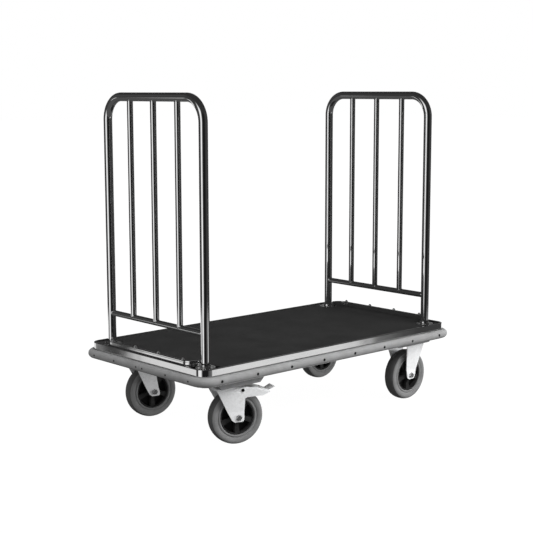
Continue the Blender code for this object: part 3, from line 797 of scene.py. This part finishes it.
def plates():
    """Top plates keep their CAD shape; bolts and washers are added under each corner."""
    for corner in CORNERS:
        node = f"caster_plate_{corner}"
        under, centre = low(node).z, middle(node)
        bolts = []
        for sx in (-1, 1):
            for sy in (-1, 1):
                place = (centre.x + sx * PLATE_BOLT[0], centre.y + sy * PLATE_BOLT[1], under)
                spot = Matrix.Translation(place) @ UPSIDE_DOWN
                washer = turned("washer", [(0.0075, 0.0), (0.0075, 0.0014), (0.003, 0.0014)], 24)
                bolts.append(moved(washer, spot))
                bolts.append(moved(hex_solid("bolt", 0.0062, 0.0014, 0.0062, 0.0007), spot))
        name = f"plate_bolts_{corner}"
        piece(name, merged("bolts", bolts), "bearing_steel", "cart", material=BOLT_STEEL, smooth=25)


def race(side):
    """Swivel head: upper and lower cups with a groove between them."""
    node = f"swivel_race_rear_{side}"
    lo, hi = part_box(node)
    centre = (lo + hi) / 2
    radius = (hi.x - lo.x) / 2
    z0, z1 = lo.z, hi.z
    mid = (z0 + z1) / 2
    bore = 0.0086
    groove = radius - 0.0022
    profile = [(bore, z0), (radius - 0.006, z0), (radius - 0.002, z0 + 0.0010), (radius, z0 + 0.0028)]
    profile += [(radius - 0.0004, mid - 0.0004), (groove, mid - 0.0002), (groove, mid + 0.0002)]
    profile += [(radius - 0.0008, mid + 0.0006), (radius - 0.0012, z1 - 0.002)]
    profile += [(radius - 0.005, z1), (bore, z1)]
    name = f"swivel_head_rear_{side}"
    mesh = moved(turned(name, profile, 64, closed=True), Matrix.Translation((centre.x, centre.y, 0)))
    piece(name, mesh, "zinc_plate", "cart", [node])


# Forks are the CAD pressings with softened edges and a folded skin on each leg


def softened(node, name, body, bevel=0.0012, extra=()):
    """A zinc-plated copy of a CAD node with its sharp sheet edges rounded, merged with added details."""
    work = bmesh.new()
    work.from_mesh(NODES[node].data)
    bmesh.ops.remove_doubles(work, verts=work.verts, dist=0.00002)
    bmesh.ops.dissolve_limit(work, angle_limit=math.radians(1.0), verts=work.verts, edges=work.edges)
    copy = bpy.data.meshes.new(name)
    work.to_mesh(copy)
    work.free()
    mesh = merged(name, [copy, *extra])
    piece(name, mesh, "zinc_plate", body, [node], bevel=bevel, segments=3)


# For each fork: its legs' front edge at the axle and at the top, the back edge at both, and the line that
# the legs are folded along, as (height, part of the way from front to back, rise)
FIXED_FOLD = ((0.115, 0.90, 0.0002), (0.125, 0.86, 0.0014), (0.219, 0.48, 0.0034))
PLAIN_FOLD = ((0.115, 0.34, 0.0002), (0.125, 0.36, 0.0008), (0.198, 0.52, 0.0018))
BRAKED_FOLD = ((0.115, 0.40, 0.0002), (0.125, 0.42, 0.0006), (0.198, 0.46, 0.0012))
LEGS = {
    "rear_left": (-0.0255, -0.0800, 0.0215, -0.0050, PLAIN_FOLD),
    "rear_right": (-0.0305, -0.0865, 0.0215, 0.0215, BRAKED_FOLD),
    "front_left": (-0.0235, -0.0500, 0.0235, 0.0500, FIXED_FOLD),
    "front_right": (-0.0235, -0.0500, 0.0235, 0.0500, FIXED_FOLD),
}


def fold(corner, sign, top, spread):
    """The outer skin of a leg, folded along a line, just inside the leg's edges."""
    front_low, front_high, back_low, back_high, line = LEGS[corner]
    margin, sunk, proud = 0.002, -0.0006, 0.0002
    loops = []
    for z, part, rise in line:
        up = (z - WHEEL_RADIUS) / (top - WHEEL_RADIUS)
        front = front_low + (front_high - front_low) * up + margin
        back = back_low + (back_high - back_low) * up - margin
        crease = front + (back - front) * part
        face = leg_face(z, top, spread)
        section = ((front, sunk), (front, proud), (crease, rise), (back, proud), (back, sunk))
        loops.append([(u, sign * (face + out), z) for u, out in section])
    return mesh_from_loops("fold", loops)


def leg_face(z, top, spread):
    """How far a leg's outer face is from the wheel's middle at a height."""
    flare = max(0.0, (z - LEG_KNEE) / (top - LEG_KNEE))
    return LEG_AT_AXLE + (spread - LEG_AT_AXLE) * flare + FORK_SHEET / 2


def fork_body(corner):
    return "cart" if corner.startswith("front") else f"swivel_{corner}"


def forks():
    for corner in CORNERS:
        end = corner.split("_")[0]
        extra = []
        for sign in (-1, 1):
            mesh = fold(corner, sign, LEG_TOP[end], LEG_SPREAD[end])
            extra.append(moved(mesh, wheel_frame(corner)))
        softened(f"fork_{corner}", f"fork_{corner}_pressing", fork_body(corner), extra=extra)


def keep(nodes, slot):
    """CAD nodes whose shape is right get a finished material."""
    for node in nodes:
        data = NODES[node].data
        data.materials.clear()
        data.materials.append(MATERIALS[slot])


def brake():
    """The pedal, and its two shouldered pins with domed heads."""
    softened("brake_pedal", "brake_pedal_pressing", "brake_rear_right", bevel=0.0009)
    inner, outer = 0.0305, 0.0505
    pin_spot = Matrix.Translation((0.0105, 0, WHEEL_RADIUS + 0.103))
    for side in SIDES:
        node = f"brake_pin_{side}"
        profile = [(0.0022, inner), (0.0030, inner + 0.0008), (0.0030, outer - 0.0008)]
        profile += [(0.0056, outer - 0.0007), (0.0060, outer), (0.0060, outer + 0.0008)]
        profile += [(0.0046, outer + 0.0016), (0.0020, outer + 0.0012)]
        mesh = turned(node, [(radius, SIDES[side] * reach) for radius, reach in profile], 28)
        moved(mesh, pin_spot @ Z_TO_Y)
        moved(mesh, wheel_frame("rear_right"))
        piece(f"{node}_rivet", mesh, "bearing_steel", "swivel_rear_right", [node], material=SCREW_BLACK)


# Stage


def stage():
    """A wide floor that looks like the white behind it, lights nothing and isn't mirrored."""
    reach, sunk = 40.0, 0.0005
    mesh = bpy.data.meshes.new("floor")
    corners = [(sx * reach, sy * reach, 0) for sx, sy in ((-1, -1), (1, -1), (1, 1), (-1, 1))]
    mesh.from_pydata(corners, [], [(0, 1, 2, 3)])
    floor = bpy.data.objects.new("floor", mesh)
    bpy.context.scene.collection.objects.link(floor)
    surface = Shader("floor_pale", grey(0.05), 0.9, Specular_IOR_Level=0.0)
    surface.set("Base Color", surface.blend(surface.noise(1.5, 2.0), grey(0.05), grey(0.06)))
    surface.set("Emission Color", (1.0, 1.0, 1.0, 1.0))
    surface.set("Emission Strength", 0.985)
    mesh.materials.append(surface.material)
    floor.location.z = -sunk
    floor.visible_diffuse = False
    floor.visible_glossy = False


def ramp(tree, value, stops):
    """A colour ramp over -180 to 180 degrees from (degrees, brightness) stops."""
    node = tree.nodes.new("ShaderNodeValToRGB")
    tree.links.new(value, node.inputs["Fac"])
    elements = node.color_ramp.elements
    elements.remove(elements[-1])
    for number, (degrees, brightness) in enumerate(stops):
        position = (degrees + 180) / 360
        element = elements[0] if number == 0 else elements.new(position)
        element.position = position
        element.color = (brightness, brightness, brightness, 1.0)
    return node.outputs["Color"]


# What polished metal sees round the studio, as (compass degrees, brightness), 0 along -Y and 90 along +X:
# panels near the floor, which the deck's edges mirror, and the walls above, which the tubes mirror
FLOOR_PANELS = (
    (-180, 0.85),
    (-150, 0.80),
    (-148.8, 0.05),
    (-145.4, 0.06),
    (-144.4, 0.72),
    (-137, 0.75),
    (-134, 0.04),
    (-113, 0.05),
    (-108, 0.9),
    (-80, 0.95),
    (-72, 0.35),
    (-66, 0.012),
    (-12, 0.012),
    (2, 0.10),
    (30, 0.16),
    (37, 0.78),
    (47.4, 0.74),
    (48.6, 0.13),
    (52, 0.05),
    (90, 0.05),
    (98, 0.85),
    (180, 0.85),
)
WALLS = (
    (-180, 0.03),
    (-150, 0.06),
    (-138, 0.04),
    (-114, 0.04),
    (-108, 0.45),
    (-101, 0.95),
    (-76, 1.00),
    (-70, 0.40),
    (-64, 0.07),
    (-56, 0.05),
    (-40, 0.010),
    (-20, 0.008),
    (0, 0.02),
    (30, 0.05),
    (70, 0.045),
    (120, 0.03),
    (136, 0.25),
    (146, 0.03),
    (180, 0.03),
)


def world():
    """White behind, the panels and walls above for mirrors, and a soft gradient for everything else."""
    made = bpy.data.worlds.new("studio")
    bpy.context.scene.world = made
    made.use_nodes = True
    tree = made.node_tree
    tree.nodes.clear()

    def add(kind, **settings):
        node = tree.nodes.new(kind)
        for name, value in settings.items():
            setattr(node, name, value)
        return node

    def compute(operation, *values):
        node = add("ShaderNodeMath", operation=operation)
        for socket, value in enumerate(values):
            if isinstance(value, bpy.types.NodeSocket):
                tree.links.new(value, node.inputs[socket])
            else:
                node.inputs[socket].default_value = value
        return node.outputs[0]

    def mix(factor, first, second):
        node = add("ShaderNodeMix", data_type="RGBA")
        tree.links.new(factor, node.inputs[0])
        for socket, value in ((MIX_FIRST, first), (MIX_SECOND, second)):
            if isinstance(value, bpy.types.NodeSocket):
                tree.links.new(value, node.inputs[socket])
            else:
                node.inputs[socket].default_value = (*grey(value), 1.0)
        return node.outputs[MIX_RESULT]

    direction = add("ShaderNodeSeparateXYZ")
    tree.links.new(add("ShaderNodeTexCoord").outputs["Generated"], direction.inputs[0])
    x, y, z = direction.outputs
    compass = compute("ARCTAN2", x, compute("MULTIPLY", y, -1.0))
    around = compute("MULTIPLY_ADD", compass, 1 / math.tau, 0.5)
    height = compute("ARCSINE", z)

    def between(start, finish):
        """0 at or before the first height and 1 at or past the second, in radians above the horizon."""
        node = add("ShaderNodeMapRange")
        tree.links.new(height, node.inputs["Value"])
        node.inputs["From Min"].default_value = start
        node.inputs["From Max"].default_value = finish
        return node.outputs["Result"]

    ceiling, ground = 0.03, 0.08
    level = mix(between(-0.176, -0.190), ramp(tree, around, WALLS), ramp(tree, around, FLOOR_PANELS))
    level = mix(between(0.45, 0.65), level, ceiling)
    mirrored_room = mix(between(-0.26, -0.31), level, ground)
    soft = mix(between(-0.28, 0.34), 0.24, 0.60)
    paths = add("ShaderNodeLightPath")
    seen = mix(paths.outputs["Is Glossy Ray"], soft, mirrored_room)
    seen = mix(paths.outputs["Is Camera Ray"], seen, 1.0)
    background = add("ShaderNodeBackground")
    tree.links.new(seen, background.inputs["Color"])
    background.inputs["Strength"].default_value = 1.0
    output = add("ShaderNodeOutputWorld")
    tree.links.new(background.outputs[0], output.inputs[0])


def towards(compass, elevation):
    """The direction out from the cart to a compass direction and a height."""
    flat = math.cos(elevation)
    return Vector((math.sin(compass) * flat, -math.cos(compass) * flat, math.sin(elevation)))


def light(name, compass, elevation, distance, size, power, aim=(0, 0, 0.6)):
    """A soft panel that lights the cart and isn't mirrored in it."""
    data = bpy.data.lights.new(name, "AREA")
    data.shape = "RECTANGLE"
    data.size, data.size_y = size
    data.energy = power
    made = bpy.data.objects.new(name, data)
    bpy.context.scene.collection.objects.link(made)
    back = towards(math.radians(compass), math.radians(elevation))
    made.location = Vector(aim) + back * distance
    made.rotation_mode = "QUATERNION"
    made.rotation_quaternion = back.to_track_quat("Z", "Y")
    made.visible_glossy = False
    made.visible_camera = False


def camera():
    """The photographer's place: its compass direction and height, a small roll and a long lens."""
    data = bpy.data.cameras.new("camera")
    data.sensor_width = 36.0
    data.lens = 81.61
    made = bpy.data.objects.new("camera", data)
    bpy.context.scene.collection.objects.link(made)
    eye = (-3.1837, -3.4514, 1.2584)
    compass, elevation, roll = math.radians(-42.313), math.radians(8.348), math.radians(-0.12)
    back = towards(compass, elevation)
    right = Vector((math.cos(compass), math.sin(compass), 0.0))
    up = back.cross(right)
    tilted_right = right * math.cos(roll) + up * math.sin(roll)
    tilted_up = up * math.cos(roll) - right * math.sin(roll)
    turn = Matrix((tilted_right, tilted_up, back)).transposed()
    made.matrix_world = Matrix.Translation(eye) @ turn.to_4x4()
    bpy.context.scene.camera = made


def main():
    camera()
    deck_pan()
    bumper()
    carpet()
    keep(["deck_board"], "plywood")
    keep(["cross_channel_rear", "cross_channel_front"], "channel_grey")
    for end in ENDS:
        end_stop(end)
        hoop(end)
        rails_and_bars(end)
        for side in SIDES:
            flange(end, side)
    plates()
    keep([f"caster_plate_{corner}" for corner in CORNERS], "zinc_plate")
    keep([node for node in NODES if node.startswith("kingpin")], "bearing_steel")
    for side in SIDES:
        race(side)
    forks()
    for corner in CORNERS:
        at = wheel_frame(corner)
        tyre(corner, at)
        rim(corner, at)
        bearing(corner, at)
        axle(corner, at, fork_body(corner))
    brake()
    stage()
    world()
    light("key", 10, 38, 4.2, (2.6, 2.0), 125)
    light("fill", -95, 30, 4.5, (2.4, 2.4), 42)
    light("top", 0, 89, 3.6, (2.4, 1.8), 35)
    light("low", 46, 5, 4.4, (2.6, 0.6), 105, aim=(0, 0, 0.15))
    bpy.context.scene.view_settings.view_transform = "Standard"


main()
